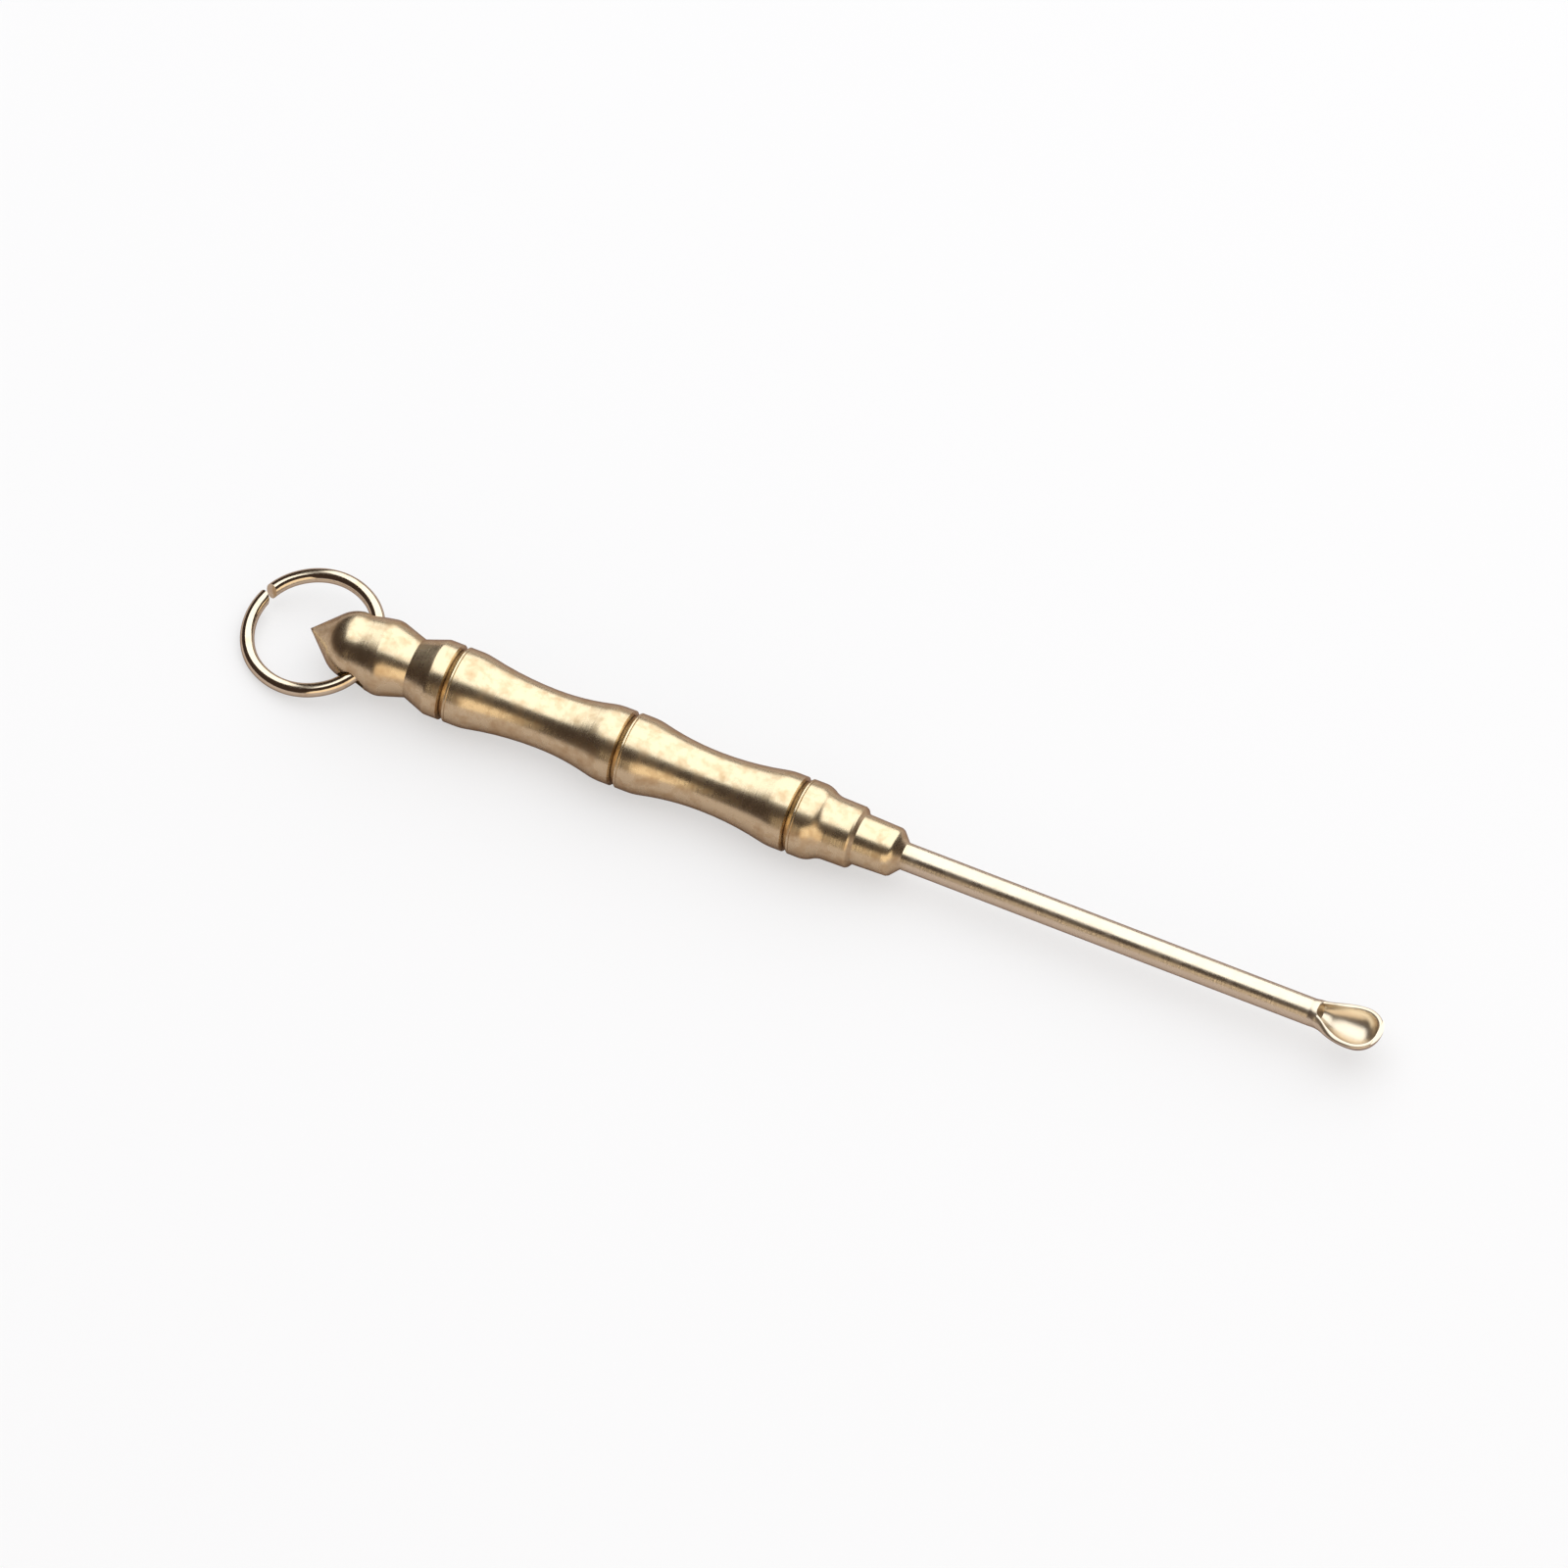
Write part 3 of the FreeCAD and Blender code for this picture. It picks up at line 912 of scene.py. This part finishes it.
@dataclass
class JumpRing:
    """Round wire bent to an open oval, askew in the hole. Sizes in millimetres and degrees."""

    hole_at: float
    axis_height: float
    wire_r: float = 0.455
    long_r: float = 4.37
    cross_r: float = 3.975
    end_round: float = 3.8
    gap: float = 0.5
    gap_angle: float = 26.5
    cut_slant: float = 33.0
    cut_search: float = 0.5     # radians from the cut's middle in which its faces are found
    lean: float = 13.0          # about the pick's axis
    side: float = 0.22          # from the pick's axis to the oval's long axis
    offset: float = 0.52        # from the hole's middle to the near end of the wire's middle line
    steepest_tilt: float = 45.0
    wire_sides: int = 64
    stations: int = 321
    sharp_deg: float = 35.0
    finish: DrawnWire = field(default_factory=DrawnWire)

    @property
    def middle(self) -> np.ndarray:
        """The oval's middle, from the hole's middle, in the ring's own level plane."""
        return np.array([self.offset - self.long_r, self.side, 0])

    def turned(self, tilt: float) -> np.ndarray:
        """The ring's turn in the hole at a tilt in degrees: first the lean, then the tilt."""
        lean = Matrix.Rotation(math.radians(self.lean), 3, "X")
        return np.array(Matrix.Rotation(math.radians(-tilt), 3, "Y") @ lean)

    def resting_tilt(self) -> float:
        """Find by halving the tilt at which the lowest side of the ring touches the surface.

        Returns:
            Tilt in degrees.
        """
        shallow, steep = 0.0, self.steepest_tilt
        for _ in range(HALVINGS):
            tilt = (shallow + steep) / 2
            turn = self.turned(tilt)
            reach = math.hypot(self.long_r * turn[2, 0], self.cross_r * turn[2, 1]) + self.wire_r
            if (turn @ self.middle)[2] - reach > -self.axis_height:
                shallow = tilt
            else:
                steep = tilt
        return tilt

    def surface(self, phi: np.ndarray, b: np.ndarray) -> np.ndarray:
        """Points of the wire's skin.

        Each is the oval's point with the outward normal at phi, plus the wire's radius times
        (cos b outward, sin b up). The oval is four tangent arcs: the end arcs have their middles
        on the long axis, and the side arcs on the short one.

        Args:
            phi: Angles of the oval's outward normal.
            b: Angles round the wire.

        Returns:
            Array of points in the ring's own level plane.
        """
        end = self.long_r - self.end_round
        tangency = self.cross_r - self.end_round
        side = (end ** 2 - tangency ** 2) / (2 * tangency)
        at_end = np.abs(np.sin(phi)) < math.sin(math.atan2(side, end))
        middle_x = np.where(at_end, end * np.sign(np.cos(phi)), 0)
        middle_y = np.where(at_end, 0, -side * np.sign(np.sin(phi)))
        reach = np.where(at_end, self.end_round, self.cross_r + side) + self.wire_r * np.cos(b)
        return np.stack([middle_x + reach * np.cos(phi), middle_y + reach * np.sin(phi),
                         self.wire_r * np.sin(b) + 0 * phi], -1)

    def cut_ends(self, b: np.ndarray) -> list[np.ndarray]:
        """Find by halving where the wire's skin meets the two faces of the slanted saw cut.

        A face is a plane square to the wire but for its slant, half the gap from the cut's middle.

        Args:
            b: Angles round the wire.

        Returns:
            For each face, the oval's angle at each of those.
        """
        place = math.pi - math.radians(self.gap_angle)
        slant = math.radians(self.cut_slant)
        middle = np.array([self.long_r * math.cos(place), self.cross_r * math.sin(place), 0])
        square = np.array([-math.sin(place) * math.cos(slant), math.cos(place) * math.cos(slant),
                           math.sin(slant)])
        ends = []
        for face in (0.5, -0.5):
            low = np.full_like(b, place - self.cut_search)
            high = np.full_like(b, place + self.cut_search)
            for _ in range(HALVINGS):
                mid = (low + high) / 2
                short = (self.surface(mid, b) - middle) @ square < face * self.gap
                low, high = np.where(short, mid, low), np.where(short, high, mid)
            ends.append(low)
        return ends

    def build(self) -> bpy.types.Object:
        """Build the ring in place of its CAD node, from one face of the cut round to the other.

        Returns:
            The finished piece.
        """
        b = np.linspace(0, math.tau, self.wire_sides + 1)[:-1]
        first, last = self.cut_ends(b)
        t = np.linspace(0, 1, self.stations)[:, None]
        skin = self.surface(first * (1 - t) + (last + math.tau) * t, b)
        # Each end is closed towards a point in the middle of its face
        caps = [np.repeat(skin[i].mean(0)[None, None], len(b), 1) for i in (0, -1)]
        points = np.concatenate([caps[0], skin, caps[1]]) + self.middle
        points = points @ self.turned(self.resting_tilt()).T + np.array([self.hole_at, 0, 0])
        origin = head_point(self.axis_height)
        piece = grid_object("ring_wire", points * MM + origin, self.sharp_deg)
        piece.data.materials.append(self.finish.material())
        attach(piece, "ring")
        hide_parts("jump_ring")
        return piece


# The studio

class Side(enum.Enum):
    """Where a lamp stands round the object: degrees from the front, and degrees above the level."""

    OVERHEAD_BEHIND = (180.0, 60.0)
    FRONT_RIGHT = (30.0, 14.0)


@dataclass(frozen=True)
class Lamp:
    """One soft rectangular lamp that looks at the object. Size and distance in metres."""

    name: str
    side: Side
    distance: float
    size: tuple[float, float]
    radiance: float
    colour: str = "#FFFFFF"

    def build(self) -> None:
        """Add the lamp.

        Its power is pi times area times radiance, the brightness that metal shows. The camera
        doesn't see it, so that it never stands before the object in another view.
        """
        data = bpy.data.lights.new(self.name, "AREA")
        data.shape = "RECTANGLE"
        data.size, data.size_y = self.size
        data.energy = self.radiance * math.pi * self.size[0] * self.size[1]
        data.color = linear(self.colour)[:3]
        lamp = bpy.data.objects.new(self.name, data)
        away = away_from_object(*self.side.value)
        lamp.location = away * self.distance
        lamp.rotation_euler = away.to_track_quat("Z", "Y").to_euler()
        lamp.visible_camera = False
        bpy.context.scene.collection.objects.link(lamp)


@dataclass
class Studio:
    """Floor, surround, lamps and camera. The camera sees the frame that the photograph shows."""

    azimuth_deg: float = 24.6
    elevation_deg: float = 56.8
    lens_mm: float = 900.0
    frame_width_mm: float = 98.7
    right_mm: float = 29.8
    down_mm: float = 9.8
    camera_reach: float = 50.0
    floor_size: float = 8.0
    floor_colour: str = "#E4E4E5"
    floor_in_metal: str = "#B0A4A0"
    floor_white: str = "#FDFDFD"
    floor_glow: float = 0.55
    room_light: str = "#C0C0C2"
    room_in_metal: str = "#3A2E28"
    room_white: str = "#FFFFFF"
    lamps: tuple[Lamp, ...] = (
        Lamp("overhead_softbox", Side.OVERHEAD_BEHIND, distance=0.5, size=(0.84, 1.2), radiance=1.4),
        Lamp("front_panel", Side.FRONT_RIGHT, distance=0.5, size=(0.8, 0.36), radiance=1.0,
             colour="#FFE8CA"))

    def build(self) -> None:
        """Add all of it."""
        self.add_floor()
        self.add_surround()
        self.add_camera()
        for lamp in self.lamps:
            lamp.build()

    def add_floor(self) -> None:
        """A plain pale floor, which the metal mirrors as a greyer table.

        It keeps the object's shadow, and a share of plain white that only the camera sees makes
        the shadow as faint as in the photograph.
        """
        half = self.floor_size / 2
        corners = [(-half, -half, 0), (half, -half, 0), (half, half, 0), (-half, half, 0)]
        mesh = bpy.data.meshes.new("floor")
        mesh.from_pydata(corners, [], [(0, 1, 2, 3)])
        floor = bpy.data.objects.new("floor", mesh)
        bpy.context.scene.collection.objects.link(floor)
        material, tree = new_material("pale_floor")
        path = add_node(tree, "ShaderNodeLightPath")
        colour = add_node(tree, "ShaderNodeMix", {"data_type": "RGBA"}, {
            FACTOR: path.outputs["Is Glossy Ray"],
            COLOUR_A: linear(self.floor_colour), COLOUR_B: linear(self.floor_in_metal)})
        paint = add_node(tree, "ShaderNodeBsdfDiffuse", {}, {
            "Color": colour.outputs[COLOUR_RESULT]})
        white = add_node(tree, "ShaderNodeEmission", {}, {
            "Color": linear(self.floor_white), "Strength": 1.0})
        share = add_node(tree, "ShaderNodeMath", {"operation": "MULTIPLY"}, {
            0: path.outputs["Is Camera Ray"], 1: self.floor_glow})
        surface = add_node(tree, "ShaderNodeMixShader", {}, {
            0: share.outputs["Value"], 1: paint.outputs["BSDF"], 2: white.outputs["Emission"]})
        add_node(tree, "ShaderNodeOutputMaterial", {}, {"Surface": surface.outputs["Shader"]})
        mesh.materials.append(material)

    def add_surround(self) -> None:
        """A room that lights the floor evenly.

        The metal mirrors it as a dark, warm one, and the camera sees white past the floor.
        """
        world = bpy.data.worlds.new("studio")
        world.use_nodes = True
        tree = world.node_tree
        tree.nodes.clear()
        path = add_node(tree, "ShaderNodeLightPath")
        lit = add_node(tree, "ShaderNodeMix", {"data_type": "RGBA"}, {
            FACTOR: path.outputs["Is Glossy Ray"],
            COLOUR_A: linear(self.room_light), COLOUR_B: linear(self.room_in_metal)})
        colour = add_node(tree, "ShaderNodeMix", {"data_type": "RGBA"}, {
            FACTOR: path.outputs["Is Camera Ray"],
            COLOUR_A: lit.outputs[COLOUR_RESULT], COLOUR_B: linear(self.room_white)})
        light = add_node(tree, "ShaderNodeBackground", {}, {
            "Color": colour.outputs[COLOUR_RESULT], "Strength": 1.0})
        add_node(tree, "ShaderNodeOutputWorld", {}, {"Surface": light.outputs["Background"]})
        bpy.context.scene.world = world

    def add_camera(self) -> None:
        """A long lens at the photograph's angle, with the photograph's width at the pick's middle.

        It aims at a point that lies to the right of the head's point and below it in the picture.
        """
        toward = away_from_object(self.azimuth_deg, self.elevation_deg)
        azimuth = math.radians(self.azimuth_deg)
        right = Vector((math.cos(azimuth), math.sin(azimuth), 0))
        up = toward.cross(right)
        low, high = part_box("ear_pick")
        point = Vector((low.x, (low.y + high.y) / 2, (low.z + high.z) / 2))
        aim = point + right * self.right_mm * MM - up * self.down_mm * MM
        data = bpy.data.cameras.new("camera")
        data.lens = self.lens_mm
        data.clip_end = self.camera_reach
        distance = self.frame_width_mm * MM * self.lens_mm / data.sensor_width
        camera = bpy.data.objects.new("camera", data)
        camera.location = aim + toward * distance
        camera.rotation_euler = toward.to_track_quat("Z", "Y").to_euler()
        bpy.context.scene.collection.objects.link(camera)
        bpy.context.scene.camera = camera


def main() -> None:
    """Build the pieces and the studio, and set the plain view transform."""
    logging.basicConfig(level=logging.INFO, format="%(name)s: %(message)s")
    pick = Pick()
    for part in (pick, JumpRing(pick.hole_at, pick.bar_r)):
        piece = part.build()
        log.info("%s has %d faces", piece.name, len(piece.data.polygons))
    Studio().build()
    bpy.context.scene.view_settings.view_transform = "Standard"


if __name__ == "__main__":
    main()
